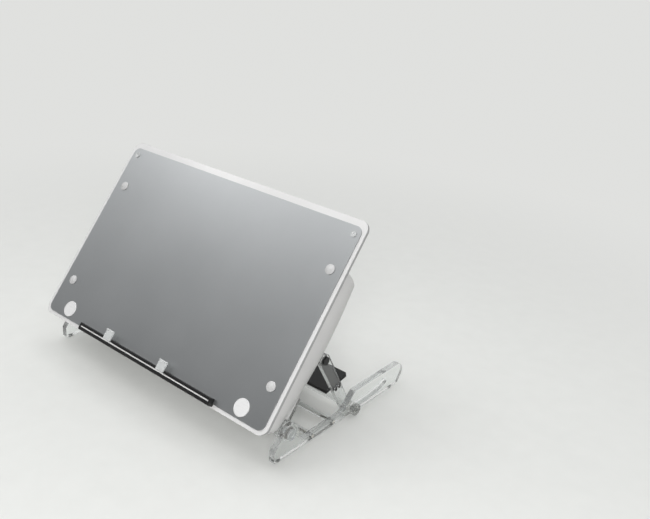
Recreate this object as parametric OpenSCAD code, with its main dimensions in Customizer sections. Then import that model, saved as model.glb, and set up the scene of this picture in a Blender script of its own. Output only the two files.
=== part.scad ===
// Desk-top writing slope: a clear plate with a grey panel on a moulded tray,
// tilting on a clear base and held by a prop whose foot runs in slotted side plates.
// Millimetres, +Z up, +Y to the rear, origin on the desk below the middle of the slope.

/* [Board] */
// Width of the clear plate
board_w = 500; // [470:5:540]
// Length of the clear plate up the slope
board_h = 324; // [312:1:345]
// Thickness of the clear plate
plate_t = 5; // [4:0.5:6]
// Corner radius of the clear plate
plate_corner_r = 15; // [10:1:18]
// Thickness of the grey panel on the plate
panel_t = 1.5; // [1:0.1:2]
// Clear rim beside the panel
panel_side_rim = 6; // [4:0.5:8]
// Clear rim below the panel
panel_low_rim = 5.5; // [5.2:0.1:6]
// Clear rim above the panel
panel_top_rim = 10.5; // [8:0.5:14]
// Corner radius of the panel
panel_corner_r = 11; // [8:1:16]
// Steepest angle of the board, at which it is drawn
rest_tilt = 52; // [51:0.25:53]

/* [Tray] */
// Distance of the tray's sides from the plate's edges
tray_inset = 1; // [0.5:0.5:3]
// Lower end of the tray, up the slope
tray_low_s = 2; // [1:0.5:3]
// Upper end of the tray, up the slope
tray_top_s = 254; // [252:1:266]
// Wall of the tray
tray_wall = 3; // [2:0.5:3.5]
// Width of the flat rim on which the plate lies
tray_seat_w = 12; // [8:0.5:12.5]
// Radius of the tray's corners, seen from the front
tray_corner_r = 16; // [14:1:20]
// Width of the tray's rounded flanks
tray_side_r = 24; // [18:1:26]
// Fullness of the tray's flanks: 2 is a quarter ellipse
tray_full = 2.2; // [2.1:0.1:3]
// Length of the tray's rounded lower end
tray_low_r = 18; // [16:1:22]
// Length of the tray's rounded upper end
tray_top_r = 13; // [11:1:18]
// Depth of the tray towards its lower end
tray_low_d = 34.5; // [33:0.5:35]
// Depth of the tray at its middle
tray_mid_d = 61; // [58:0.5:61]
// Depth of the tray towards its upper end
tray_top_d = 52; // [46:0.5:52]
// Diameter of the screw bosses
boss_d = 12; // [9:0.5:13]

/* [Plate fixings] */
// Distance of the plate screws from the side edges
screw_inset = 26; // [24:0.5:30]
// Lower plate screws, up the slope
screw_low_s = 65; // [60:1:72]
// Upper plate screws, up the slope
screw_top_s = 243; // [225:1:244]
// Diameter of the plate screws
screw_d = 4; // [3:0.5:5]
// Diameter of the white screw caps
cap_d = 15; // [13:0.5:18]
// Height of the white screw caps
cap_h = 3.2; // [3:0.1:4]
// Distance of the corner rivets from the side edges
rivet_inset = 17.2; // [14:0.2:24]
// Distance of the corner rivets from the upper edge
rivet_top = 23; // [20:0.5:30]
// Diameter of the corner rivets' heads
rivet_d = 9; // [7:0.5:10]
// Diameter of the two bare discs
disc_d = 26; // [20:1:28]
// Thickness of the two bare discs
disc_t = 1.2; // [0.6:0.1:1.6]
// Distance of the discs from the side edges
disc_inset = 53.5; // [45:0.5:60]
// Discs, up the slope
disc_s = 21.5; // [20:0.5:30]

/* [Ledge] */
// Length of the ledge with its end caps
ledge_l = 300; // [296:1:340]
// Lower face of the ledge, up the slope
ledge_s = 1.5; // [0.5:0.1:1.8]
// Height of the ledge up the slope
ledge_h = 11.5; // [11:0.1:13]
// How far the ledge stands off the plate
ledge_out = 10; // [9.6:0.1:12]
// Lower lip of the ledge, below its groove
ledge_lip = 5.1; // [4.8:0.1:5.3]
// Width of the groove's mouth
mouth_w = 2.9; // [2.7:0.1:3.1]
// Depth of the groove
groove_depth = 5.8; // [5.4:0.1:6]
// Thickness of the pale strip in the groove
strip_t = 1.6; // [1.2:0.1:1.8]
// Thickness of the ledge's end caps
end_cap_t = 3; // [2:0.5:4]
// Width of the page clips
clip_w = 16; // [12:1:20]
// Thickness of the page clips
clip_t = 2; // [1.5:0.1:2.4]
// How far the page clips reach up the slope
clip_reach = 24; // [22:1:32]
// Place of the left page clip along the ledge
clip_left_x = -81; // [-90:1:-70]
// Place of the right page clip along the ledge
clip_right_x = 43; // [36:1:50]

/* [Base] */
// Thickness of the side plates
side_t = 10; // [8:0.5:11]
// Distance of the side plates' outer faces from the plate's edges
side_inset = 3; // [2:0.5:6]
// Front edge of the side plates
side_front_y = 26; // [22:0.5:29]
// Height of the side plates' upright front edge
side_front_h = 17; // [14:0.5:20]
// Height of the low rail of the side plates
rail_h = 8; // [7:0.5:10]
// Radius of the fillets above the rail
rail_fillet_r = 20; // [10:1:24]
// Foot of the tail's front edge
tail_front_y = 178; // [170:0.5:180]
// Middle of the tail's round rear end
tail_rear_y = 318; // [317:0.5:330]
// Height of the middle of the tail's round rear end
tail_rear_z = 24; // [22:0.5:25]
// Radius of the tail's round rear end
tail_rear_r = 15; // [14:0.5:15.5]
// Height of the feet
foot_h = 3; // [2:0.5:4]
// Diameter of the feet
foot_d = 9.5; // [8:0.5:10]
// Diameter of the tie rods between the side plates
tie_d = 8; // [7:0.25:8]
// Front tie rod, behind the design line
tie_front_y = 108; // [100:1:120]
// Rear tie rod, behind the design line
tie_rear_y = 156; // [146:1:160]
// Height of the tie rods above the desk
tie_z = 7; // [6.8:0.1:7.2]

/* [Tilt pivot] */
// Pivot, behind the design line
pivot_y = 58; // [57:0.25:60]
// Pivot, above the desk
pivot_z = 36; // [35.5:0.25:37]
// Pivot, up the slope
pivot_s = 17.5; // [16:0.25:19]
// Pivot, behind the plate's front face
pivot_depth = 62; // [61:0.25:64]
// Diameter of the pivot pins
pivot_d = 10; // [8:0.5:11]
// Radius of the side plates round the pivot
pivot_eye_r = 15.5; // [15:0.25:16]
// Diameter of the pivot pins' heads
pivot_head_d = 17; // [14:0.5:20]
// Wall of the pivot bushes
bush_wall = 2; // [1.5:0.1:2.5]
// Wall of the hinge arms round the bushes
arm_wall = 6; // [4:0.5:6.5]
// Thickness of the hinge arms and the struts
arm_t = 8; // [6:0.5:8.5]
// Thickness of the thrust washers
washer_t = 1.8; // [1.4:0.1:2.2]
// How far the board tilts down from its steepest angle
tilt_travel = 36; // [20:1:37]

/* [Prop] */
// Prop hinge, up the slope
hinge_s = 129.5; // [128:0.25:131]
// Prop hinge, behind the plate's front face
hinge_depth = 79; // [78.5:0.25:81]
// Diameter of the prop hinge pins
hinge_pin_d = 6; // [5:0.5:7]
// Foot rod at rest, behind the design line
foot_y = 200; // [199:0.25:201]
// Foot rod at rest, above the desk
foot_z = 12; // [11.75:0.25:12.75]
// Diameter of the foot rod
rod_d = 8; // [7:0.5:8.5]
// Turn of the prop on the board for each turn of the board
prop_ratio = 2.25; // [2.23:0.01:2.27]
// Width of the struts at the hinge
strut_top_w = 20; // [18:0.5:21]
// Width of the struts at the foot
strut_foot_w = 17; // [15:0.5:17.5]
// Gap between struts and side plates, filled by spacers
strut_gap = 3; // [3:0.25:4]
// Cross plate, down the struts from the hinge
cross_at = 72; // [62:1:78]
// Depth of the black cross plate
cross_w = 50; // [44:1:54]
// Part of the cross plate's depth in front of the struts' middle line
cross_front = 18; // [14:0.5:20]
// Thickness of the black cross plate
cross_t = 6; // [5:0.5:7]
// Rise of the cross plate towards the rear
cross_rise = 12; // [6:1:18]
// Diameter of the clamp knobs
knob_d = 18; // [15:0.5:20]
// Length of the clamp knobs
knob_l = 8; // [7.6:0.1:12]

/* [Fits] */
// Radial clearance of pins in bushes
run_fit = 0.05; // [0.02:0.01:0.09]
// Clearance of pieces that are fixed in place
seat_fit = 0.02; // [0.01:0.01:0.04]
// Clearance beside sliding and turning faces
side_fit = 0.2; // [0.15:0.05:0.3]
// Clearance between the clips and the ledge's front
clip_fit = 0.4; // [0.3:0.05:0.6]
// Clearance of the foot rod in its slots
slot_fit = 0.5; // [0.4:0.05:0.7]

/* [Hidden] */
$fn = 64;

clear = [0.86, 0.92, 0.93, 0.35];
white = [0.9, 0.9, 0.88];
black = [0.04, 0.04, 0.045];
nickel = [0.72, 0.72, 0.7];
grey = [0.6, 0.62, 0.64];

// Overlap that makes a cut run past a face
past = 1;

// Planes across the object, as distances from its middle
half_w = board_w / 2;
tray_half = half_w - tray_inset;
side_out_x = half_w - side_inset;
side_in_x = side_out_x - side_t;
arm_out_x = side_in_x - washer_t - side_fit;
arm_in_x = arm_out_x - arm_t;
strut_out_x = side_in_x - strut_gap;
strut_in_x = strut_out_x - arm_t;

// The plate's lower front edge in the side view, from the pivot
edge_y = pivot_y - pivot_s * cos(rest_tilt) - pivot_depth * sin(rest_tilt);
edge_z = pivot_z - pivot_s * sin(rest_tilt) + pivot_depth * cos(rest_tilt);

// Stations of the tray's loft up the slope and steps across its section
tray_len = tray_top_s - tray_low_s;
tray_end_steps = 6;
tray_back_steps = 9;
tray_flank_steps = 9;
tray_max_e = max([for (k = [0 : 50]) tray_d(tray_low_s + k / 50 * tray_len, 0)]);

// Points of the linkage in the side view, as [y, z]
pivot_p = [pivot_y, pivot_z];
hinge_p = on_slope(hinge_s, hinge_depth);
foot_p = [foot_y, foot_z];
strut_l = norm(foot_p - hinge_p);
strut_a = bearing(foot_p - hinge_p);

// The slot in the tails follows the foot rod as the board comes down
slot_stops = [for (k = [0 : 4]) foot_at(k * tilt_travel / 4)];
slot_w = rod_d + 2 * slot_fit;

// The drawing is centred between the ledge's front and the tails' rear
ledge_chamfer = 0.6;
front_y = edge_y + (ledge_s + ledge_chamfer) * cos(rest_tilt) - ledge_out * sin(rest_tilt);
rear_y = tail_rear_y + tail_rear_r;
y_shift = -(front_y + rear_y) / 2;

function bearing(v) = atan2(v[1], v[0]);
function turned(v, a) = [v[0] * cos(a) - v[1] * sin(a), v[0] * sin(a) + v[1] * cos(a)];
function on_slope(s, depth) = [
    edge_y + s * cos(rest_tilt) + depth * sin(rest_tilt),
    edge_z + s * sin(rest_tilt) - depth * cos(rest_tilt)
];
function circle_centre(a, b, c) =
    let (
        d = 2 * (a[0] * (b[1] - c[1]) + b[0] * (c[1] - a[1]) + c[0] * (a[1] - b[1])),
        aa = a * a,
        bb = b * b,
        cc = c * c
    )
    [
        (aa * (b[1] - c[1]) + bb * (c[1] - a[1]) + cc * (a[1] - b[1])) / d,
        (aa * (c[0] - b[0]) + bb * (a[0] - c[0]) + cc * (b[0] - a[0])) / d
    ];
// Foot rod after the board has come down by an angle
function foot_at(a) =
    pivot_p + turned(hinge_p - pivot_p, -a) + turned(foot_p - hinge_p, (prop_ratio - 1) * a);
// Growth of a rounded end from 0 at its tip to 1 at its full length
function end_round(t, r) = t >= r ? 1 : sqrt(max(0, 1 - pow(1 - t / r, 2)));
// Half width and depth of the tray at a place up the slope, inset by a wall
function tray_w(s, inset) =
    let (r = tray_corner_r - inset, t = min(s - tray_low_s, tray_top_s - s) - inset)
    tray_half - inset - r * (1 - end_round(t, r));
function tray_d(s, inset) =
    let (
        q = (s - tray_low_s) / tray_len,
        ends = tray_low_d * (1 - q) * (1 - 2 * q) + tray_top_d * q * (2 * q - 1),
        back = ends + tray_mid_d * 4 * q * (1 - q)
    )
    (back - inset) * end_round(s - tray_low_s - inset, tray_low_r - inset)
        * end_round(tray_top_s - inset - s, tray_top_r - inset);
// Depth of the tray's outer face below its rim, at a place on the board
function tray_depth(x, s) =
    let (out = max(0, abs(x) - tray_w(s, 0) + tray_side_r) / tray_side_r)
    tray_d(s, 0) * pow(1 - pow(out, tray_full), 1 / tray_full);
function tray_stations(inset) =
    let (
        low = tray_low_s + inset,
        top = tray_top_s - inset,
        low_r = tray_low_r - inset,
        top_r = tray_top_r - inset,
        back = top - top_r - low - low_r
    )
    concat(
        [for (k = [0 : tray_end_steps - 1]) low + low_r * (1 - cos(90 * k / tray_end_steps))],
        [for (k = [0 : tray_back_steps]) low + low_r + back * k / tray_back_steps],
        [for (k = [1 : tray_end_steps]) top - top_r * (1 - sin(90 * k / tray_end_steps))]
    );
function tray_flank(s, a, inset) = [
    tray_w(s, inset) - (tray_side_r - inset) * (1 - pow(cos(a), 2 / tray_full)),
    s,
    tray_d(s, inset) * pow(sin(a), 2 / tray_full)
];
function tray_section(s, inset) =
    let (right = [for (k = [0 : tray_flank_steps]) tray_flank(s, 90 * k / tray_flank_steps, inset)])
    concat(right, [for (k = [tray_flank_steps : -1 : 0]) [-right[k][0], s, right[k][2]]]);
function tray_grid(inset) = [for (s = tray_stations(inset), p = tray_section(s, inset)) p];

// Places a piece drawn with y measured from the design line
module in_frame() {
    translate([0, y_shift, 0]) children();
}
// Board frame: x across, y up the slope, z out of the plate's front face
module on_board() {
    in_frame() translate([0, edge_y, edge_z]) rotate([rest_tilt, 0, 0]) children();
}
// Tray frame: x across, y up the slope, z down from the tray's rim
module in_tray() {
    on_board() translate([0, 0, -plate_t]) mirror([0, 0, 1]) children();
}
// Extrudes an outline drawn in the side view from x0 to x1
module side_slab(x0, x1) {
    translate([x0, 0, 0]) rotate([90, 0, 90]) linear_extrude(x1 - x0) children();
}
// Round bar across the object from x0 to x1, at a point of the side view
module cross_bar(p, d, x0, x1) {
    translate([x0, p[0], p[1]]) rotate([0, 90, 0]) cylinder(d = d, h = x1 - x0);
}
module both_sides() {
    children();
    mirror([1, 0, 0]) children();
}
// Rectangle with true round corners
module round_rect(x0, y0, x1, y1, r) {
    translate([x0 + r, y0]) square([x1 - x0 - 2 * r, y1 - y0]);
    translate([x0, y0 + r]) square([x1 - x0, y1 - y0 - 2 * r]);
    for (x = [x0 + r, x1 - r], y = [y0 + r, y1 - r]) translate([x, y]) circle(r);
}
// Screw along z with a domed head on z = 0 and its shank below
module pan_screw(d, l, head_d, head_h) {
    translate([0, 0, -l]) cylinder(d = d, h = l);
    rotate_extrude() intersection() {
        square([head_d / 2, head_h]);
        translate([0, head_h - head_d]) circle(head_d);
    }
}
// Countersunk screw whose head ends flush at z = 0
module flush_screw(d, l) {
    land = 0.3;
    rotate_extrude() polygon([[0, 0], [d, 0], [d, -land], [d / 2, -land - d / 2], [d / 2, -l], [0, -l]]);
}

// The tray's skin: an outer and an inner loft joined round the rim
module tray_skin() {
    n = 2 * tray_flank_steps + 2;
    rows = 2 * tray_end_steps + tray_back_steps + 1;
    outer = tray_grid(0);
    inner = tray_grid(tray_wall);
    shift = len(outer);
    cells = [for (i = [0 : rows - 2], k = [0 : n - 2]) i * n + k];
    sides = [for (i = [0 : rows - 2]) i * n];
    last = (rows - 1) * n;
    polyhedron(
        points = concat(outer, inner),
        faces = concat(
            [for (c = cells) [c, c + 1, c + n]],
            [for (c = cells) [c + 1, c + n + 1, c + n]],
            [for (c = cells) [c + shift, c + n + shift, c + 1 + shift]],
            [for (c = cells) [c + 1 + shift, c + n + shift, c + n + 1 + shift]],
            [for (c = sides) [c, c + n, c + shift]],
            [for (c = sides) [c + shift, c + n, c + n + shift]],
            [for (c = sides) [c + n - 1, c + n - 1 + shift, c + 2 * n - 1]],
            [for (c = sides) [c + 2 * n - 1, c + n - 1 + shift, c + 2 * n - 1 + shift]],
            [for (k = [0 : n - 2]) [k, k + shift, k + 1]],
            [for (k = [0 : n - 2]) [k + 1, k + shift, k + 1 + shift]],
            [for (k = [last : last + n - 2]) [k, k + 1, k + shift]],
            [for (k = [last : last + n - 2]) [k + shift, k + 1, k + 1 + shift]]
        )
    );
}

fix_screw_d = 4;
fix_screw_l = 11;
fix_head_d = 7.5;
fix_head_h = 2.6;
pad_gap = 0.5;
pad_margin = 2;
pad_depth = 15;
pad_corner_r = 3;
// Flat pads on the tray's back carry the hinge arms and the prop brackets
arm_flange_t = 6;
arm_flange_x = [arm_out_x - 28, arm_out_x];
arm_flange_s = [34, 66];
arm_screw_x = arm_out_x - 19;
arm_screw_s = [43, 57];
arm_pad_e = tray_d(arm_flange_s[1], 0) + pad_gap;
lug_t = 9.5;
lug_out_x = strut_in_x - side_fit;
lug_in_x = lug_out_x - lug_t;
bracket_flange_t = 5;
bracket_flange_x = [lug_in_x - 20, lug_out_x];
bracket_flange_s = [hinge_s - 22, hinge_s + 20];
bracket_screw_x = lug_in_x - 11;
bracket_screw_s = [hinge_s - 14, hinge_s + 12];
bracket_pad_e = tray_max_e + pad_gap;

screw_points = [for (x = [-1, 1], s = [screw_low_s, screw_top_s]) [x * (half_w - screw_inset), s]];
plate_screw_l = plate_t + panel_t + 9;
screw_head_d = 2 * screw_d;
screw_head_h = screw_d / 2;
rivet_points = [for (x = [-1, 1]) [x * (half_w - rivet_inset), board_h - rivet_top]];
rivet_shank_d = 4;
rivet_head_h = 1.6;

module tray_outline(inset) {
    half = tray_half - inset;
    round_rect(-half, tray_low_s + inset, half, tray_top_s - inset, tray_corner_r - inset);
}
// Height of a screw boss that ends inside the tray's wall all round
function boss_h(x, s) =
    let (r = boss_d / 2 * sqrt(0.5), end = s > tray_low_s + tray_len / 2 ? 1 : -1)
    tray_depth(abs(x) + r, s + end * r) - tray_wall / 2;
module tray_pad(x, s, e) {
    translate([0, 0, e - pad_depth]) linear_extrude(pad_depth)
        round_rect(x[0] - pad_margin, s[0] - pad_margin, x[1], s[1] + pad_margin, pad_corner_r);
}
module pad_hole(x, s, e) {
    translate([x, s, e - fix_screw_l]) cylinder(d = fix_screw_d + 2 * seat_fit, h = fix_screw_l + past);
}
module back_tray() {
    color(white) in_tray() difference() {
        union() {
            tray_skin();
            linear_extrude(tray_wall) difference() {
                tray_outline(tray_wall / 2);
                tray_outline(tray_seat_w);
            }
            for (p = screw_points) translate(p) cylinder(d = boss_d, h = boss_h(p[0], p[1]));
            both_sides() tray_pad(arm_flange_x, arm_flange_s, arm_pad_e);
            both_sides() tray_pad(bracket_flange_x, bracket_flange_s, bracket_pad_e);
        }
        for (p = screw_points) translate([p[0], p[1], -past])
            cylinder(d = screw_d + 2 * seat_fit, h = plate_screw_l - plate_t - panel_t + past + side_fit);
        both_sides() for (s = arm_screw_s) pad_hole(arm_screw_x, s, arm_pad_e);
        both_sides() for (s = bracket_screw_s) pad_hole(bracket_screw_x, s, bracket_pad_e);
    }
}

module plate_outline(side, low, top, r) {
    round_rect(-half_w + side, low, half_w - side, board_h - top, r);
}
module top_plate() {
    color(white) on_board() difference() {
        translate([0, 0, -plate_t]) linear_extrude(plate_t) plate_outline(0, 0, 0, plate_corner_r);
        for (p = screw_points) translate([p[0], p[1], -plate_t - past])
            cylinder(d = screw_d + 2 * seat_fit, h = plate_t + 2 * past);
        for (p = rivet_points) translate([p[0], p[1], -plate_t - past])
            cylinder(d = rivet_shank_d + 2 * seat_fit, h = plate_t + 2 * past);
        for (x = ledge_screw_x) translate([x, ledge_screw_s, -plate_t]) mirror([0, 0, 1])
            flush_screw(ledge_screw_d + 2 * seat_fit, plate_t + past);
    }
}
module grey_panel() {
    color(grey) on_board() difference() {
        linear_extrude(panel_t)
            plate_outline(panel_side_rim, panel_low_rim, panel_top_rim, panel_corner_r);
        for (p = screw_points) translate([p[0], p[1], -past])
            cylinder(d = screw_d + 2 * seat_fit, h = panel_t + 2 * past);
        for (p = rivet_points) translate([p[0], p[1], -past])
            cylinder(d = rivet_shank_d + 2 * seat_fit, h = panel_t + 2 * past);
    }
}
module plate_screws() {
    color(nickel) on_board() for (p = screw_points) translate([p[0], p[1], panel_t])
        pan_screw(screw_d, plate_screw_l, screw_head_d, screw_head_h);
}
// Domed cap with a hollow that fits over a screw's head
module screw_caps() {
    rim_h = 1;
    dome_h = cap_h - rim_h;
    dome_r = (pow(cap_d / 2, 2) + pow(dome_h, 2)) / (2 * dome_h);
    color(white) on_board() for (p = screw_points) translate([p[0], p[1], panel_t])
        rotate_extrude() difference() {
            union() {
                square([cap_d / 2, rim_h]);
                intersection() {
                    translate([0, cap_h - dome_r]) circle(dome_r);
                    square([cap_d / 2, cap_h]);
                }
            }
            translate([0, -past]) square([screw_head_d / 2 + side_fit, screw_head_h + side_fit + past]);
        }
}
// Rivets with a dished ring head in front and a flat head behind
module corner_rivets() {
    dish_r = 4;
    dish_depth = 0.9;
    color(clear) on_board() for (p = rivet_points) translate(p) rotate_extrude() difference() {
        union() {
            translate([0, panel_t]) square([rivet_d / 2, rivet_head_h]);
            translate([0, -plate_t]) square([rivet_shank_d / 2, plate_t + panel_t]);
            translate([0, -plate_t - rivet_head_h]) square([rivet_d / 2, rivet_head_h]);
        }
        translate([0, panel_t + rivet_head_h + dish_r - dish_depth]) circle(dish_r);
    }
}
module blank_discs() {
    edge = disc_t / 2;
    color(white) on_board() for (x = [-1, 1]) translate([x * (half_w - disc_inset), disc_s, panel_t])
        rotate_extrude() polygon([
            [0, 0], [disc_d / 2, 0], [disc_d / 2, edge], [disc_d / 2 - edge, disc_t], [0, disc_t]
        ]);
}

// The ledge lies on the plate below and on the panel above its rebate
bar_l = ledge_l - 2 * end_cap_t;
ledge_top_s = ledge_s + ledge_h;
mouth_s = ledge_s + ledge_lip;
groove_z = ledge_out - groove_depth;
groove_hook = 1.8;
groove_hook_h = 3;
strip_drop = 0.6;
neck_s = mouth_s + strip_t + side_fit;
ledge_screw_d = 2.5;
ledge_screw_s = ledge_s + ledge_lip / 2 - side_fit;
ledge_screw_l = plate_t + ledge_out / 2;
ledge_screw_x = [-0.4 * ledge_l, 0, 0.4 * ledge_l];
module ledge_section() {
    step_s = panel_low_rim - side_fit;
    polygon([
        [ledge_s, 0], [step_s, 0], [step_s, panel_t], [ledge_top_s, panel_t],
        [ledge_top_s, ledge_out - ledge_chamfer], [ledge_top_s - ledge_chamfer, ledge_out],
        [ledge_s + ledge_chamfer, ledge_out], [ledge_s, ledge_out - ledge_chamfer]
    ]);
}
// Groove with a narrow mouth and an undercut towards the upper lip
module ledge_bar() {
    color(black) on_board() difference() {
        side_slab(-bar_l / 2, bar_l / 2) difference() {
            ledge_section();
            translate([mouth_s, groove_z]) square([mouth_w, groove_depth + past]);
            translate([mouth_s, groove_z]) square([mouth_w + groove_hook, groove_hook_h]);
        }
        for (x = ledge_screw_x) translate([x, ledge_screw_s, -past])
            cylinder(d = ledge_screw_d + 2 * seat_fit, h = ledge_screw_l - plate_t + side_fit + past);
    }
}
module ledge_strip() {
    color(white) on_board() side_slab(-bar_l / 2, bar_l / 2)
        translate([mouth_s, groove_z]) square([strip_t, groove_depth - strip_drop]);
}
module ledge_end_caps() {
    color(black) on_board() both_sides() side_slab(bar_l / 2, ledge_l / 2) ledge_section();
}
module ledge_screws() {
    color(nickel) on_board() for (x = ledge_screw_x) translate([x, ledge_screw_s, -plate_t])
        mirror([0, 0, 1]) flush_screw(ledge_screw_d, ledge_screw_l);
}
// Clip with a hooked foot in the groove, a tongue over the page and a rolled edge
module page_clip(x) {
    foot_z = groove_z + side_fit;
    head_z = ledge_out + clip_fit;
    roll_r = clip_t * 0.75;
    color(clear) on_board() side_slab(x - clip_w / 2, x + clip_w / 2) {
        translate([neck_s, foot_z])
            square([mouth_s + mouth_w + groove_hook - side_fit - neck_s, groove_hook_h - 2 * side_fit]);
        translate([neck_s, foot_z])
            square([mouth_s + mouth_w - side_fit - neck_s, head_z + clip_t / 2 - foot_z]);
        translate([neck_s, head_z]) square([clip_reach - neck_s, clip_t]);
        translate([clip_reach, head_z + roll_r]) circle(roll_r);
    }
}
module left_page_clip() {
    page_clip(clip_left_x);
}
module right_page_clip() {
    page_clip(clip_right_x);
}

// Hinge arm: a flange on the tray's pad and a web that carries the pivot bush
bush_d = pivot_d + 2 * bush_wall;
arm_r = bush_d / 2 + arm_wall;
pivot_e = pivot_depth - plate_t;
module hinge_arm() {
    color(clear) in_tray() difference() {
        union() {
            translate([0, 0, arm_pad_e]) linear_extrude(arm_flange_t)
                round_rect(
                    arm_flange_x[0], arm_flange_s[0], arm_flange_x[1], arm_flange_s[1], pad_corner_r
                );
            side_slab(arm_in_x, arm_out_x) {
                translate([pivot_s, pivot_e]) circle(arm_r);
                translate([pivot_s, arm_pad_e])
                    square([arm_flange_s[1] - pad_corner_r - pivot_s, arm_flange_t]);
            }
        }
        cross_bar([pivot_s, pivot_e], bush_d + 2 * seat_fit, arm_in_x - past, arm_out_x + past);
        for (s = arm_screw_s) translate([arm_screw_x, s, arm_pad_e - past])
            cylinder(d = fix_screw_d + 2 * seat_fit, h = arm_flange_t + 2 * past);
    }
}
module right_hinge_arm() {
    hinge_arm();
}
module left_hinge_arm() {
    mirror([1, 0, 0]) hinge_arm();
}
module arm_screws() {
    color(nickel) in_tray() both_sides() for (s = arm_screw_s)
        translate([arm_screw_x, s, arm_pad_e + arm_flange_t])
            pan_screw(fix_screw_d, fix_screw_l + arm_flange_t - side_fit, fix_head_d, fix_head_h);
}
module pivot_bushes() {
    color(white) in_frame() both_sides() difference() {
        cross_bar(pivot_p, bush_d, arm_in_x, arm_out_x);
        cross_bar(pivot_p, pivot_d + 2 * run_fit, arm_in_x - past, arm_out_x + past);
    }
}

// Prop bracket: a flange on the tray's pad and one lug beside the strut
hinge_e = hinge_depth - plate_t;
lug_r = 9;
module prop_bracket() {
    color(black) in_tray() difference() {
        union() {
            translate([0, 0, bracket_pad_e]) linear_extrude(bracket_flange_t)
                round_rect(
                    bracket_flange_x[0], bracket_flange_s[0], bracket_flange_x[1], bracket_flange_s[1],
                    pad_corner_r
                );
            side_slab(lug_in_x, lug_out_x) {
                translate([hinge_s, hinge_e]) circle(lug_r);
                translate([hinge_s - lug_r, bracket_pad_e + past])
                    square([2 * lug_r, hinge_e - bracket_pad_e - past]);
            }
        }
        cross_bar([hinge_s, hinge_e], hinge_pin_d + 2 * seat_fit, lug_in_x - past, lug_out_x + past);
        for (s = bracket_screw_s) translate([bracket_screw_x, s, bracket_pad_e - past])
            cylinder(d = fix_screw_d + 2 * seat_fit, h = bracket_flange_t + 2 * past);
    }
}
module right_prop_bracket() {
    prop_bracket();
}
module left_prop_bracket() {
    mirror([1, 0, 0]) prop_bracket();
}
module bracket_screws() {
    color(nickel) in_tray() both_sides() for (s = bracket_screw_s)
        translate([bracket_screw_x, s, bracket_pad_e + bracket_flange_t])
            pan_screw(fix_screw_d, fix_screw_l + bracket_flange_t - side_fit, fix_head_d, fix_head_h);
}
hinge_head_d = 13;
hinge_head_t = 2.2;
module prop_hinge_pins() {
    head_x = strut_out_x + side_fit;
    color(black) in_frame() both_sides() {
        cross_bar(hinge_p, hinge_pin_d, lug_in_x, head_x + hinge_head_t / 2);
        cross_bar(hinge_p, hinge_head_d, head_x, head_x + hinge_head_t);
    }
}

// Strut with a round end at the hinge and a round foot on the rod
strut_bush_d = hinge_pin_d + 4;
cross_c = hinge_p + turned([cross_at, 0], strut_a);
cross_screw_d = 3;
cross_screw_l = 20;
cross_screw_pitch = 8;
cross_points = [for (k = [-0.5, 0.5]) cross_c + turned([k * cross_screw_pitch, 0], cross_rise)];
module strut() {
    color(clear) in_frame() difference() {
        side_slab(strut_in_x, strut_out_x) hull() {
            translate(hinge_p) circle(d = strut_top_w);
            translate(foot_p) circle(d = strut_foot_w);
        }
        cross_bar(hinge_p, strut_bush_d + 2 * seat_fit, strut_in_x - past, strut_out_x + past);
        cross_bar(foot_p, rod_d + 2 * seat_fit, strut_in_x - past, strut_out_x + past);
        for (p = cross_points) translate([strut_out_x, p[0], p[1]]) rotate([0, 90, 0])
            flush_screw(cross_screw_d + 2 * seat_fit, arm_t + past);
    }
}
module right_strut() {
    strut();
}
module left_strut() {
    mirror([1, 0, 0]) strut();
}
module strut_bushes() {
    color(white) in_frame() both_sides() difference() {
        cross_bar(hinge_p, strut_bush_d, strut_in_x, strut_out_x);
        cross_bar(hinge_p, hinge_pin_d + 2 * run_fit, strut_in_x - past, strut_out_x + past);
    }
}
module cross_plate() {
    corner_r = 3;
    color(black) in_frame() difference() {
        translate([0, cross_c[0], cross_c[1]]) rotate([cross_rise, 0, 0])
            translate([0, -cross_front, -cross_t / 2]) linear_extrude(cross_t) {
                round_rect(-strut_in_x, 0, strut_in_x, cross_w, corner_r);
                translate([-strut_in_x, 0]) square([2 * strut_in_x, cross_w / 2]);
            }
        both_sides() for (p = cross_points)
            cross_bar(p, cross_screw_d + 2 * seat_fit, strut_out_x - cross_screw_l - side_fit, strut_out_x);
    }
}
module cross_plate_screws() {
    color(black) in_frame() both_sides() for (p = cross_points)
        translate([strut_out_x, p[0], p[1]]) rotate([0, 90, 0]) flush_screw(cross_screw_d, cross_screw_l);
}

// Foot rod: full size through struts and slots, then a stud for washer and knob
stud_d = rod_d - 2;
rod_washer_t = 1;
rod_washer_x = side_out_x + 2 * side_fit;
knob_x = rod_washer_x + rod_washer_t + side_fit;
stud_end_x = knob_x + knob_l * 0.75;
spacer_d = rod_d + 6;
module foot_rod() {
    color(clear) in_frame() {
        cross_bar(foot_p, rod_d, -rod_washer_x, rod_washer_x);
        cross_bar(foot_p, stud_d, -stud_end_x, stud_end_x);
    }
}
module rod_spacers() {
    color(white) in_frame() both_sides() difference() {
        cross_bar(foot_p, spacer_d, strut_out_x, side_in_x - 2 * side_fit);
        cross_bar(foot_p, rod_d + 2 * seat_fit, strut_out_x - past, side_in_x);
    }
}
module rod_washers() {
    color(nickel) in_frame() both_sides() difference() {
        cross_bar(foot_p, spacer_d, rod_washer_x, rod_washer_x + rod_washer_t);
        cross_bar(foot_p, stud_d + 2 * seat_fit, rod_washer_x - past, rod_washer_x + rod_washer_t + past);
    }
}
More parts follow.
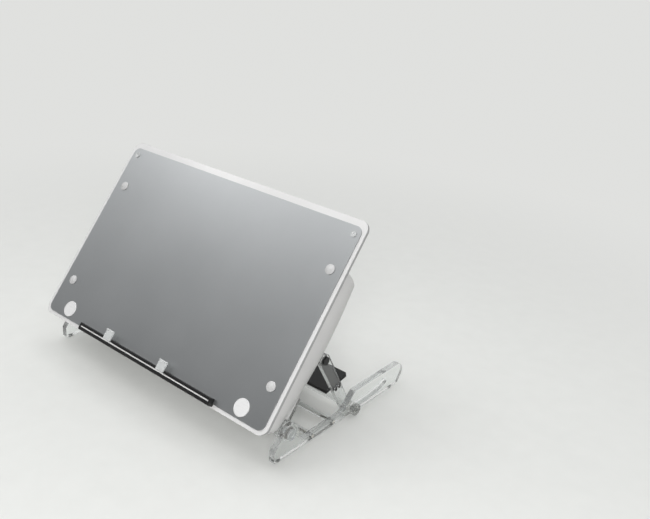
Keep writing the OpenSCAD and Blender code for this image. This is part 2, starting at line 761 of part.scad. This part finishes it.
// Round knob with finger flutes and a dished end, turning on the rod's stud
module clamp_knob() {
    flutes = 10;
    flute_d = 3.2;
    collar = 2;
    dish_r = 20;
    color(clear) in_frame() difference() {
        cross_bar(foot_p, knob_d, knob_x, knob_x + knob_l);
        cross_bar(foot_p, stud_d + 2 * run_fit, knob_x - past, stud_end_x + side_fit);
        for (k = [0 : flutes - 1])
            cross_bar(foot_p + turned([knob_d / 2 + flute_d / 4, 0], k * 360 / flutes), flute_d,
                knob_x + collar, knob_x + knob_l + past);
        translate([knob_x + knob_l + dish_r - past, foot_p[0], foot_p[1]]) sphere(dish_r);
    }
}
module right_clamp_knob() {
    clamp_knob();
}
module left_clamp_knob() {
    mirror([1, 0, 0]) clamp_knob();
}

// Side plate: upright with the pivot eye, low rail, and tail with the curved slot
tail_front_r = 8;
tail_front_run = 30;
tail_foot_y = tail_rear_y + 4;
tie_points = [[tie_front_y, tie_z], [tie_rear_y, tie_z]];
tie_screw_d = 3;
tie_screw_l = 24;
// Part of the slot: an arc of its width through three stops
module slot_arc(p, q, r) {
    c = circle_centre(p, q, r);
    mid_r = norm(p - c);
    intersection() {
        translate(c) difference() {
            circle(mid_r + slot_w / 2);
            circle(mid_r - slot_w / 2);
        }
        polygon([c, c + 2 * (p - c), c + 2 * (r - c)]);
    }
    for (end = [p, r]) translate(end) circle(d = slot_w);
}
module slot_outline() {
    slot_arc(slot_stops[0], slot_stops[1], slot_stops[2]);
    slot_arc(slot_stops[2], slot_stops[3], slot_stops[4]);
}
module side_outline() {
    offset(-rail_fillet_r) offset(rail_fillet_r) {
        translate([side_front_y, foot_h]) square([tail_foot_y - side_front_y, rail_h]);
        hull() {
            translate(pivot_p) circle(pivot_eye_r);
            translate([side_front_y, foot_h]) square([pivot_y + pivot_eye_r - side_front_y, side_front_h]);
        }
        hull() {
            translate([tail_rear_y, tail_rear_z]) circle(tail_rear_r);
            translate([tail_front_y + tail_front_run, tail_rear_z + tail_rear_r - tail_front_r])
                circle(tail_front_r);
            translate([tail_front_y, foot_h]) square([tail_foot_y - tail_front_y, rail_h]);
        }
    }
}
module side_plate() {
    color(clear) in_frame() difference() {
        side_slab(side_in_x, side_out_x) side_outline();
        cross_bar(pivot_p, pivot_d + 2 * seat_fit, side_in_x - past, side_out_x + past);
        side_slab(side_in_x - past, side_out_x + past) slot_outline();
        for (p = tie_points) translate([side_out_x, p[0], p[1]]) rotate([0, 90, 0])
            flush_screw(tie_screw_d + 2 * seat_fit, side_t + past);
    }
}
module right_side_plate() {
    side_plate();
}
module left_side_plate() {
    mirror([1, 0, 0]) side_plate();
}
module tie_rod(p) {
    color(clear) in_frame() difference() {
        cross_bar(p, tie_d, -side_in_x, side_in_x);
        both_sides()
            cross_bar(p, tie_screw_d + 2 * seat_fit, side_out_x - tie_screw_l - side_fit, side_in_x + past);
    }
}
module front_tie_rod() {
    tie_rod(tie_points[0]);
}
module rear_tie_rod() {
    tie_rod(tie_points[1]);
}
module tie_screws() {
    color(nickel) in_frame() both_sides() for (p = tie_points)
        translate([side_out_x, p[0], p[1]]) rotate([0, 90, 0]) flush_screw(tie_screw_d, tie_screw_l);
}
module base_feet() {
    edge = 0.8;
    foot_x = (side_in_x + side_out_x) / 2;
    foot_ys = [side_front_y + foot_d, tail_foot_y - 2 * foot_d];
    color(clear) in_frame() both_sides() for (y = foot_ys) translate([foot_x, y, 0])
        rotate_extrude() polygon([
            [0, 0], [foot_d / 2 - edge, 0], [foot_d / 2, edge], [foot_d / 2, foot_h], [0, foot_h]
        ]);
}
// Flanged pin with a dished head, fixed in the side plate
pin_head_t = 3;
clip_ring_t = 1.2;
clip_ring_x = arm_in_x - side_fit;
module pivot_pins() {
    dish_d = pivot_d - 1;
    tail = 1.5;
    color(clear) in_frame() both_sides() difference() {
        union() {
            cross_bar(pivot_p, pivot_head_d, side_out_x, side_out_x + pin_head_t);
            cross_bar(pivot_p, pivot_d, clip_ring_x - clip_ring_t - tail, side_out_x + past);
        }
        cross_bar(pivot_p, dish_d, side_out_x + pin_head_t / 2, side_out_x + pin_head_t + past);
    }
}
module pivot_washers() {
    color(white) in_frame() both_sides() difference() {
        cross_bar(pivot_p, bush_d + 5, side_in_x - washer_t, side_in_x);
        cross_bar(pivot_p, pivot_d + 2 * seat_fit, side_in_x - washer_t - past, side_in_x + past);
    }
}
module pivot_clips() {
    color(nickel) in_frame() both_sides() difference() {
        cross_bar(pivot_p, pivot_d + 7, clip_ring_x - clip_ring_t, clip_ring_x);
        cross_bar(pivot_p, pivot_d + 2 * seat_fit, clip_ring_x - clip_ring_t - past, clip_ring_x + past);
    }
}

left_side_plate();
right_side_plate();
front_tie_rod();
rear_tie_rod();
tie_screws();
base_feet();
pivot_pins();
pivot_washers();
pivot_clips();
back_tray();
top_plate();
grey_panel();
plate_screws();
screw_caps();
corner_rivets();
blank_discs();
ledge_bar();
ledge_strip();
ledge_end_caps();
ledge_screws();
left_hinge_arm();
right_hinge_arm();
arm_screws();
pivot_bushes();
left_prop_bracket();
right_prop_bracket();
bracket_screws();
prop_hinge_pins();
left_strut();
right_strut();
strut_bushes();
cross_plate();
cross_plate_screws();
foot_rod();
rod_spacers();
rod_washers();
left_clamp_knob();
right_clamp_knob();
left_page_clip();
right_page_clip();
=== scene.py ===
"""Looks of the writing slope: white plate and tray, grey panel, clear stand and prop."""

import math

import bpy
from mathutils import Matrix, Vector

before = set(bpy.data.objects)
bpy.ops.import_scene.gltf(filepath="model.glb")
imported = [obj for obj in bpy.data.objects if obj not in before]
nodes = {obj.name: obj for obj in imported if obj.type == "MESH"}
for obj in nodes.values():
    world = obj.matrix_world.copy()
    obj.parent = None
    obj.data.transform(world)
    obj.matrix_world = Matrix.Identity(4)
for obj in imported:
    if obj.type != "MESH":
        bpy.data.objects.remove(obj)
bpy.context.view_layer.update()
scene = bpy.context.scene

MM = 0.001

# The board's slope at rest, and directions in the part's own frame
TILT = math.radians(52)
ACROSS = (1, 0, 0)
UPRIGHT = (0, 0, 1)
BOARD_UP = (0.0, math.cos(TILT), math.sin(TILT))
BOARD_OUT = (0.0, -math.sin(TILT), math.cos(TILT))


# Node helpers

BEVEL_SAMPLES = 6
# How far a rounded normal turns away on a worn edge
EDGE_TURN = (0.02, 0.25)
# How squarely a sheet's edges and faces look along its axis
SHEET_FACE = (0.55, 0.9)


class Nodes:
    """Short calls that build a node tree."""

    def __init__(self, tree):
        self.tree = tree

    def add(self, kind, **settings):
        node = self.tree.nodes.new(kind)
        for key, value in settings.items():
            setattr(node, key, value)
        return node

    def put(self, socket, value):
        """Link a socket, or set it to a plain value."""
        if isinstance(value, bpy.types.NodeSocket):
            self.tree.links.new(value, socket)
        else:
            socket.default_value = value

    def fill(self, node, *values):
        """Put values into a node's first inputs and return its first output."""
        for socket, value in zip(node.inputs, values):
            self.put(socket, value)
        return node.outputs[0]

    def math(self, operation, a, b=0.0, clamp=False):
        return self.fill(self.add("ShaderNodeMath", operation=operation, use_clamp=clamp), a, b)

    def times(self, a, b):
        return self.math("MULTIPLY", a, b)

    def larger(self, a, b):
        return self.math("MAXIMUM", a, b)

    def measure(self, operation, *vectors):
        """A vector operation that gives one number."""
        node = self.add("ShaderNodeVectorMath", operation=operation)
        self.fill(node, *vectors)
        return node.outputs["Value"]

    def span(self, value, low, high, to_low=0.0, to_high=1.0, **settings):
        """Map low to to_low and high to to_high, and clamp outside them."""
        node = self.add("ShaderNodeMapRange", clamp=True, **settings)
        return self.fill(node, value, low, high, to_low, to_high)

    def mix(self, share, a, b):
        """Mix two colours."""
        node = self.add("ShaderNodeMix", data_type="RGBA")
        self.put(node.inputs["Factor"], share)
        for socket, colour in zip([s for s in node.inputs if s.type == "RGBA"], (a, b)):
            self.put(socket, colour)
        return next(s for s in node.outputs if s.type == "RGBA")

    def blend(self, share, a, b):
        """Mix two shaders."""
        return self.fill(self.add("ShaderNodeMixShader"), share, a, b)


class Material(Nodes):
    """A material's node tree around its Principled shader."""

    def __init__(self, name):
        self.mat = bpy.data.materials.new(name)
        self.mat.use_nodes = True
        super().__init__(self.mat.node_tree)
        by_type = {node.type: node for node in self.tree.nodes}
        self.shader = by_type["BSDF_PRINCIPLED"]
        self.surface = by_type["OUTPUT_MATERIAL"].inputs["Surface"]
        self.coords = self.add("ShaderNodeTexCoord").outputs

    def set(self, **values):
        """Put values into the shader's inputs, whose names have spaces for underscores."""
        for key, value in values.items():
            self.put(self.shader.inputs[key.replace("_", " ")], value)

    def noise(self, scale, detail=3.0, rough=0.55, turn=(0, 0, 0), stretch=None):
        node = self.add("ShaderNodeTexNoise")
        node.inputs["Scale"].default_value = scale
        node.inputs["Detail"].default_value = detail
        node.inputs["Roughness"].default_value = rough
        place = self.coords["Object"]
        if stretch:
            mapping = self.add("ShaderNodeMapping")
            self.put(mapping.inputs["Vector"], place)
            mapping.inputs["Rotation"].default_value = turn
            mapping.inputs["Scale"].default_value = stretch
            place = mapping.outputs[0]
        self.put(node.inputs["Vector"], place)
        return node.outputs["Fac"]

    def patches(self, low, high, **pattern):
        """Noise as patches: 0 where it is under low, 1 where it is over high."""
        return self.span(self.noise(**pattern), low, high)

    def soft_edge(self, radius):
        """A normal that rounds the sharp edges."""
        node = self.add("ShaderNodeBevel", samples=BEVEL_SAMPLES)
        node.inputs["Radius"].default_value = radius
        return node.outputs[0]

    def edges(self, radius):
        """1 on sharp edges, 0 on flat faces."""
        flat = self.add("ShaderNodeNewGeometry").outputs["Normal"]
        along = self.measure("DOT_PRODUCT", self.soft_edge(radius), flat)
        return self.span(self.math("SUBTRACT", 1.0, along), *EDGE_TURN)

    def cut_edges(self, axis):
        """1 on the sawn edges of a sheet, 0 on its faces, which lie across the axis."""
        flat = self.math("ABSOLUTE", self.measure("DOT_PRODUCT", self.coords["Normal"], axis))
        return self.span(flat, *SHEET_FACE, 1.0, 0.0)

    def bump(self, height, strength, distance, base=None):
        node = self.add("ShaderNodeBump")
        node.inputs["Strength"].default_value = strength
        node.inputs["Distance"].default_value = distance
        self.put(node.inputs["Height"], height)
        if base is not None:
            self.put(node.inputs["Normal"], base)
        return node.outputs[0]


def grey(value, warm=0.0):
    return (value * (1 + warm), value, value * (1 - warm), 1.0)


def darker(colour, share):
    return tuple(c * share for c in colour[:3]) + (1.0,)


def around(rough):
    """The least and the most roughness of a worn surface."""
    return rough - ROUGH_LESS, rough + ROUGH_MORE


# Noise patterns: scale per metre, a turn and a stretch where they are lines, limits for patches

MOTTLE = dict(scale=14, detail=4, low=0.3, high=0.7)
RUBBED = dict(scale=90, detail=4, low=0.42, high=0.62)
SCRATCHES = dict(scale=60, detail=5, rough=0.7, turn=(0.3, 0.5, 0.7), stretch=(1, 14, 3))
HAIRLINES = dict(scale=40, detail=6, rough=0.75, turn=(0.4, 0.2, 0.9), stretch=(1, 22, 4))
WHITE_SMEAR = dict(scale=11, detail=4, low=0.3, high=0.72)
CLEAR_SMEAR = dict(scale=9, detail=3, low=0.35, high=0.75)
WHITE_SAW = dict(scale=160, detail=2, rough=0.5)
CLEAR_SAW = dict(scale=420, detail=3, rough=0.6, stretch=(1.0, 0.25, 1.0))
PANEL_GRAIN = dict(scale=1500, detail=2, rough=0.6)
PANEL_FLAKES = dict(scale=2600, detail=1, low=0.62, high=0.75)
PANEL_CLOUDS = dict(scale=7, detail=4, low=0.3, high=0.72)
PANEL_SCUFFS = dict(
    scale=26, detail=6, rough=0.75, turn=(0.1, 0.0, 0.25), stretch=(1, 16, 16), low=0.6, high=0.75,
)
TURNING_LINES = dict(scale=300, detail=4, rough=0.6, stretch=(6, 1, 1))
TARNISH = dict(scale=120, detail=4, low=0.4, high=0.7)
DUST = dict(scale=260, detail=5, low=0.45, high=0.7)
FLOOR_SPECKS = dict(scale=30, detail=4, low=0.3, high=0.7)


# Materials

ACRYLIC_IOR = 1.49
ROUGH_LESS, ROUGH_MORE = 0.06, 0.1
HAIRLINE_SPAN = (0.5, 0.75)
SCRATCH_SPAN = (0.35, 0.7)
SAW_SPAN = (0.3, 0.7)
TURNING_SPAN = (0.3, 0.7)
GLASS = (0.97, 0.985, 0.98, 1.0)
SMOKE = (0.7, 0.71, 0.7, 1.0)
GLASS_SHADOW = (0.86, 0.87, 0.87, 1.0)
PANEL_DARK = (0.44, 0.452, 0.458, 1.0)
PANEL_LIGHT = (0.47, 0.482, 0.488, 1.0)
PANEL_PEARL = (0.6, 0.615, 0.62, 1.0)
PANEL_SCUFFED = (0.53, 0.54, 0.545, 1.0)
# Heights along the board between which the scuffs fade
PANEL_SCUFF_ZONE = (-0.09, 0.02)
NICKEL = (0.72, 0.7, 0.66, 1.0)
BUMPER_CLEAR = (0.86, 0.87, 0.85, 1.0)
BUMPER_DUSTY = (0.66, 0.66, 0.63, 1.0)


def plastic(name, base, worn, rough, grain, depth, edge=0.8 * MM, wear=0.5, ior=ACRYLIC_IOR):
    """Moulded or turned plastic: mottled colour, fine grain, rubbed edges, small scratches.

    grain is the scale of its texture and depth the height, edge the width of the rubbed edges
    and wear their strength.
    """
    g = Material(name)
    tone = g.mix(g.patches(**MOTTLE), base, darker(base, 0.94))
    rubbed = g.times(g.edges(edge), g.patches(**RUBBED))
    fine = g.noise(scale=grain, detail=3, rough=0.6)
    g.set(
        Base_Color=g.mix(g.times(rubbed, wear), tone, worn),
        Roughness=g.span(g.noise(**SCRATCHES), *SCRATCH_SPAN, *around(rough)),
        IOR=ior,
        Normal=g.bump(fine, strength=0.35, distance=depth, base=g.soft_edge(edge)),
    )
    return g.mat


def opal(name, axis):
    """White cast acrylic: glossy faces with hairlines, matt edges with painted shade in a darker
    grey.
    """
    g = Material(name)
    cut = g.cut_edges(axis)
    saw = g.noise(**WHITE_SAW)
    face_tone = g.mix(g.patches(**WHITE_SMEAR), grey(0.8, 0.006), grey(0.76, 0.01))
    # Painted shade: the cut edges get a darker grey than the faces, varied by the saw marks.
    painted_shade_edge_tone = g.mix(g.span(saw, *SAW_SPAN), grey(0.43), grey(0.48))
    face_gloss = g.span(g.noise(**HAIRLINES), *HAIRLINE_SPAN, 0.12, 0.2)
    soft = g.soft_edge(0.8 * MM)
    g.set(
        Base_Color=g.mix(cut, face_tone, painted_shade_edge_tone),
        Roughness=g.math("ADD", face_gloss, g.times(cut, 0.25)),
        IOR=ACRYLIC_IOR,
        Normal=g.bump(g.times(saw, cut), strength=0.1, distance=0.1 * MM, base=soft),
    )
    return g.mat


def acrylic(name, axis, tint, frost, milk=0.0):
    """Clear acrylic: polished faces across the axis, matt edges, hairlines, lamps shine through.

    frost takes clearness from the cut edges, milk from the whole piece.
    """
    g = Material(name)
    cut = g.cut_edges(axis)
    clear = 1.0 - milk
    if frost:
        clear = g.math("SUBTRACT", clear, g.times(cut, frost), clamp=True)
    face_tone = g.mix(g.patches(**CLEAR_SMEAR), tint, darker(tint, 0.985))
    face_gloss = g.span(g.noise(**HAIRLINES), *HAIRLINE_SPAN, 0.015, 0.07)
    saw = g.times(g.noise(**CLEAR_SAW), cut)
    g.set(
        Base_Color=g.mix(cut, face_tone, darker(tint, 0.78)),
        Roughness=g.math("ADD", face_gloss, g.times(cut, 0.2)),
        IOR=ACRYLIC_IOR,
        Transmission_Weight=clear,
        Normal=g.bump(saw, strength=0.3, distance=0.2 * MM),
    )
    shadow = g.add("ShaderNodeLightPath").outputs["Is Shadow Ray"]
    veil = g.fill(g.add("ShaderNodeBsdfTransparent"), GLASS_SHADOW)
    g.put(g.surface, g.blend(shadow, g.shader.outputs[0], veil))
    return g.mat


def panel_grey():
    """Satin grey laminate: fine pearl grain, faint rubbing that grows towards the ledge."""
    g = Material("panel_grey")
    cloud = g.patches(**PANEL_CLOUDS)
    tone = g.mix(cloud, PANEL_DARK, PANEL_LIGHT)
    tone = g.mix(g.times(g.patches(**PANEL_FLAKES), 0.35), tone, PANEL_PEARL)
    height = g.measure("DOT_PRODUCT", g.coords["Object"], BOARD_UP)
    near_ledge = g.span(height, *PANEL_SCUFF_ZONE, 1.0, 0.25)
    scuff = g.times(g.patches(**PANEL_SCUFFS), near_ledge)
    gloss = g.span(cloud, 0, 1, 0.33, 0.36)
    soft = g.soft_edge(0.5 * MM)
    g.set(
        Base_Color=g.mix(g.times(scuff, 0.25), tone, PANEL_SCUFFED),
        Metallic=0.9,
        Roughness=g.math("ADD", gloss, g.times(scuff, 0.12)),
        IOR=1.5,
        Normal=g.bump(g.noise(**PANEL_GRAIN), strength=0.12, distance=0.08 * MM, base=soft),
    )
    return g.mat


def nickel():
    """Plated steel: turning lines, slight tarnish."""
    g = Material("nickel")
    lines = g.noise(**TURNING_LINES)
    soft = g.soft_edge(0.3 * MM)
    g.set(
        Base_Color=g.mix(g.times(g.patches(**TARNISH), 0.5), NICKEL, darker(NICKEL, 0.7)),
        Metallic=1.0,
        Roughness=g.span(lines, *TURNING_SPAN, *around(0.24)),
        Normal=g.bump(lines, strength=0.15, distance=0.05 * MM, base=soft),
    )
    return g.mat


def soft_clear():
    """Clear soft bumper: slightly cloudy and dusty."""
    g = Material("soft_clear")
    dust = g.patches(**DUST)
    g.set(
        Base_Color=g.mix(dust, BUMPER_CLEAR, BUMPER_DUSTY),
        Roughness=g.span(dust, 0, 1, 0.16, 0.42),
        IOR=1.48,
        Transmission_Weight=0.75,
        Normal=g.bump(dust, strength=0.2, distance=0.1 * MM),
    )
    return g.mat


def tray_white():
    return plastic(
        "tray_white", base=grey(0.82, 0.01), worn=grey(0.88), rough=0.34,
        grain=900, depth=0.12 * MM, edge=1.2 * MM, wear=0.3,
    )


def cap_white():
    return plastic(
        "cap_white", base=grey(0.63, 0.004), worn=grey(0.52, 0.01), rough=0.3,
        grain=1400, depth=0.04 * MM, edge=0.5 * MM,
    )


def disc_white():
    return plastic(
        "disc_white", base=grey(0.84, 0.004), worn=grey(0.7), rough=0.3,
        grain=1600, depth=0.05 * MM, edge=0.4 * MM,
    )


def nylon():
    return plastic(
        "nylon", base=grey(0.74, 0.03), worn=grey(0.6, 0.03), rough=0.42,
        grain=800, depth=0.06 * MM, edge=0.4 * MM,
    )


def black():
    return plastic(
        "black", base=grey(0.008), worn=grey(0.05), rough=0.42,
        grain=700, depth=0.1 * MM, edge=0.6 * MM, wear=0.6, ior=1.38,
    )


def ledge_black():
    return plastic(
        "ledge_black", base=grey(0.01), worn=grey(0.06), rough=0.34,
        grain=1200, depth=0.06 * MM, edge=0.5 * MM, wear=0.7,
    )


def strip_pale():
    return plastic(
        "strip_pale", base=grey(0.86, 0.01), worn=grey(0.6), rough=0.4,
        grain=900, depth=0.05 * MM, edge=0.4 * MM,
    )


# Which material each piece has

def pair(name):
    return ["left_" + name, "right_" + name]


dressing = [
    (opal("plate_white", BOARD_OUT), ["top_plate"]),
    (panel_grey(), ["grey_panel"]),
    (tray_white(), ["back_tray"]),
    (cap_white(), ["screw_caps"]),
    (disc_white(), ["blank_discs"]),
    (ledge_black(), ["ledge_bar", "ledge_end_caps"]),
    (strip_pale(), ["ledge_strip"]),
    (
        acrylic("clear_side", ACROSS, GLASS, frost=0.15),
        pair("side_plate") + pair("hinge_arm") + pair("strut"),
    ),
    (
        acrylic("clear_rod", UPRIGHT, GLASS, frost=0.0),
        ["front_tie_rod", "rear_tie_rod", "foot_rod"],
    ),
    (acrylic("clear_knob", ACROSS, SMOKE, frost=0.1), pair("clamp_knob")),
    (acrylic("clear_pin", ACROSS, GLASS, frost=0.2, milk=0.28), ["pivot_pins"]),
    # The clips' milky white is partly a cloudy body and partly a painted highlight in place of
    # glints.
    (acrylic("clear_clip", ACROSS, GLASS, frost=0.35, milk=0.22), pair("page_clip")),
    (acrylic("milky_rivet", BOARD_OUT, GLASS, frost=0.4, milk=0.45), ["corner_rivets"]),
    (
        black(),
        pair("prop_bracket") + ["prop_hinge_pins", "cross_plate", "cross_plate_screws"],
    ),
    (nylon(), ["pivot_washers", "pivot_bushes", "strut_bushes", "rod_spacers"]),
    (
        nickel(),
        [
            "tie_screws", "pivot_clips", "plate_screws", "ledge_screws", "arm_screws",
            "bracket_screws", "rod_washers",
        ],
    ),
    (soft_clear(), ["base_feet"]),
]
for material, names in dressing:
    for name in names:
        slots = nodes[name].data.materials
        slots.clear()
        slots.append(material)


# Smooth faces for the lofted tray and the rounded struts

SMOOTH_UNDER = {"back_tray": 32, "left_strut": 30, "right_strut": 30}
WELD_REACH = 0.01 * MM


def smooth(obj, degrees):
    """Shade as round what bends by less than this."""
    bpy.context.view_layer.objects.active = obj
    bpy.ops.mesh.customdata_custom_splitnormals_clear()
    for poly in obj.data.polygons:
        poly.use_smooth = True
    weld = obj.modifiers.new("weld", "WELD")
    weld.merge_threshold = WELD_REACH
    split = obj.modifiers.new("split", "EDGE_SPLIT")
    split.split_angle = math.radians(degrees)
    split.use_edge_sharp = False


for name, degrees in SMOOTH_UNDER.items():
    smooth(nodes[name], degrees)


# Camera, from the photograph's own perspective

CAMERA_PLACE = (0.83124, -0.81488, 0.70747)
CAMERA_RIGHT = Vector((0.76969, 0.63436, 0.07186))
CAMERA_DOWN = Vector((0.30701, -0.26909, -0.91287))
CAMERA_LOOK = Vector((-0.55975, 0.72469, -0.40187))
SENSOR_WIDTH = 36.0
LENS = 44.385

camera_data = bpy.data.cameras.new("camera")
camera_data.sensor_width = SENSOR_WIDTH
camera_data.lens = LENS
camera = bpy.data.objects.new("camera", camera_data)
scene.collection.objects.link(camera)
camera_turn = Matrix((CAMERA_RIGHT, -CAMERA_DOWN, -CAMERA_LOOK)).transposed().to_4x4()
camera.matrix_world = Matrix.Translation(CAMERA_PLACE) @ camera_turn
scene.camera = camera


# Floor

FLOOR_HALF = 15
FLOOR_PAINT = ((0.77, 0.775, 0.75, 1.0), (0.79, 0.795, 0.77, 1.0))
FLOOR_BOUNCE = (0.42, 0.425, 0.41, 1.0)
FLOOR_TONE = (0.745, 0.75, 0.735, 1.0)
FLOOR_NEAR, FLOOR_FAR = 0.4, 1.35


def floor_material():
    """Pale floor: lit near the part, an even tone farther off."""
    g = Material("floor")
    path = g.add("ShaderNodeLightPath").outputs
    paint = g.mix(g.patches(**FLOOR_SPECKS), *FLOOR_PAINT)
    g.set(
        Base_Color=g.mix(path["Is Diffuse Ray"], paint, FLOOR_BOUNCE),
        Roughness=0.8,
        Specular_IOR_Level=0.15,
    )
    reach = g.measure("LENGTH", g.coords["Object"])
    far = g.span(reach, FLOOR_NEAR, FLOOR_FAR, interpolation_type="SMOOTHSTEP")
    seen = g.larger(path["Is Camera Ray"], path["Is Glossy Ray"])
    seen = g.larger(seen, path["Is Transmission Ray"])
    even = g.fill(g.add("ShaderNodeEmission"), FLOOR_TONE)
    g.put(g.surface, g.blend(g.times(far, seen), g.shader.outputs[0], even))
    return g.mat


floor_mesh = bpy.data.meshes.new("floor")
floor_corners = [(-1, -1), (1, -1), (1, 1), (-1, 1)]
floor_mesh.from_pydata(
    [(x * FLOOR_HALF, y * FLOOR_HALF, 0) for x, y in floor_corners], [], [(0, 1, 2, 3)],
)
floor = bpy.data.objects.new("floor", floor_mesh)
scene.collection.objects.link(floor)
floor.data.materials.append(floor_material())


# World and lamps

SKY_TINT = (0.98, 0.99, 1.0, 1.0)
SKY_AXIS = (-0.45, 0.33, 0.83)
SKY_SPAN = (0.36, 0.64, 0.1, 0.85)
PART_MIDDLE = (0, 0, 0.12)
PANEL_MIDDLE = (0, 0, 0.15)


def make_world():
    """Soft light that grows to the upper left; seen straight or through glass, the floor's tone."""
    world = bpy.data.worlds.new("studio")
    scene.world = world
    world.use_nodes = True
    world.node_tree.nodes.clear()
    g = Nodes(world.node_tree)
    way = g.add("ShaderNodeTexCoord").outputs["Generated"]
    strength = g.span(g.measure("DOT_PRODUCT", way, SKY_AXIS), *SKY_SPAN)
    light = g.fill(g.add("ShaderNodeBackground"), SKY_TINT, strength)
    backdrop = g.fill(g.add("ShaderNodeBackground"), FLOOR_TONE)
    path = g.add("ShaderNodeLightPath").outputs
    seen = g.larger(path["Is Camera Ray"], path["Is Transmission Ray"])
    surface = g.add("ShaderNodeOutputWorld").inputs["Surface"]
    g.put(surface, g.blend(seen, light, backdrop))


def lamp(name, place, target, size, power, mirrored=True):
    """A rectangular lamp; one that isn't mirrored shows in no gloss and no glass."""
    data = bpy.data.lights.new(name, "AREA")
    data.shape = "RECTANGLE"
    data.size, data.size_y = size
    data.energy = power
    obj = bpy.data.objects.new(name, data)
    scene.collection.objects.link(obj)
    obj.visible_camera = False
    obj.visible_glossy = mirrored
    obj.visible_transmission = mirrored
    obj.location = place
    way = Vector(target) - Vector(place)
    obj.rotation_mode = "QUATERNION"
    obj.rotation_quaternion = way.to_track_quat("-Z", "Y")


make_world()
lamp("key", (-0.9, -0.8, 2.6), PART_MIDDLE, size=(1.6, 1.2), power=12)
lamp("fill", (1.6, -1.7, 1.3), PART_MIDDLE, size=(1.0, 1.0), power=30, mirrored=False)
lamp("softbox", (1.7, -1.8, 1.4), PART_MIDDLE, size=(2.4, 2.0), power=10)
lamp("window", (-2.2, -1.05, 2.15), PANEL_MIDDLE, size=(0.9, 0.5), power=4)
lamp("top", (0.2, 0.9, 2.4), PART_MIDDLE, size=(1.6, 1.2), power=5)
scene.view_settings.view_transform = "Standard"


# Bring the scene up to date

bpy.context.view_layer.update()
